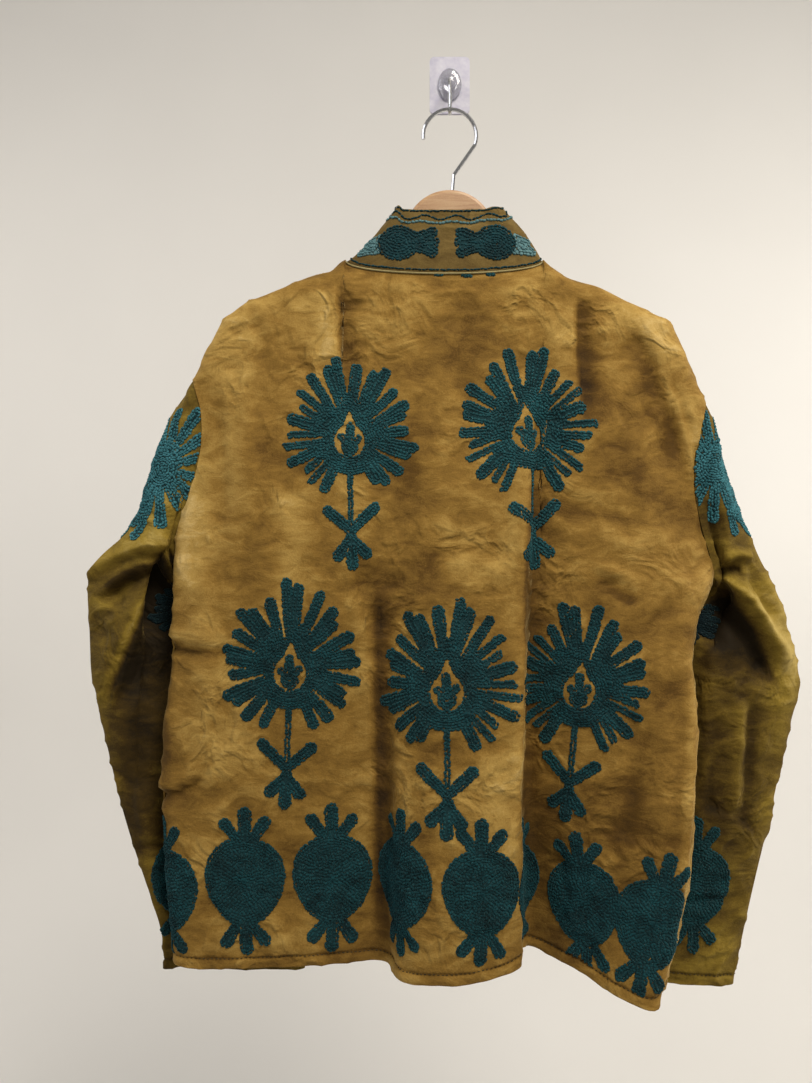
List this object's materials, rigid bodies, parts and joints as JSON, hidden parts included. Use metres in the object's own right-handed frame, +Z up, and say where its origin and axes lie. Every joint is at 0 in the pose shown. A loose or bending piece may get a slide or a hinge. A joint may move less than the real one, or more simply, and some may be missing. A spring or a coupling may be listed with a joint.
{
  "type": "embroidered jacket on a hanger and wall hook",
  "caption": "Embroidered velvet jacket with a stand collar, open front and long sleeves, hanging on a wooden hanger from a stick-on wall hook.",
  "frame": {"origin": "centre of the wall plate's back face, on the wall", "axes": "+Z up, +Y into the wall, +X to the right as the jacket's back is seen from the room"},
  "size_m": [0.6945, 0.1109, 0.9245],
  "materials": {
    "back_panel": "cotton velvet",
    "front_panel_left": "cotton velvet",
    "front_panel_right": "cotton velvet",
    "sleeve_left": "cotton velvet",
    "sleeve_right": "cotton velvet",
    "collar": "cotton velvet",
    "hanger_bar": "lacquered",
    "hanger_hook": "polished",
    "wall_plate": "translucent",
    "wall_boss": "clear",
    "wall_pin": "polished"
  },
  "bodies": {
    "root": {"back_panel": "back_panel", "front_panel_left": "front_panel_left", "front_panel_right": "front_panel_right", "sleeve_left": "sleeve_left", "sleeve_right": "sleeve_right", "collar": "collar", "hanger_bar": "hanger_bar", "hanger_hook": "hanger_hook", "wall_plate": "wall_plate", "wall_boss": "wall_boss", "wall_pin": "wall_pin"}
  },
  "joints": []
}
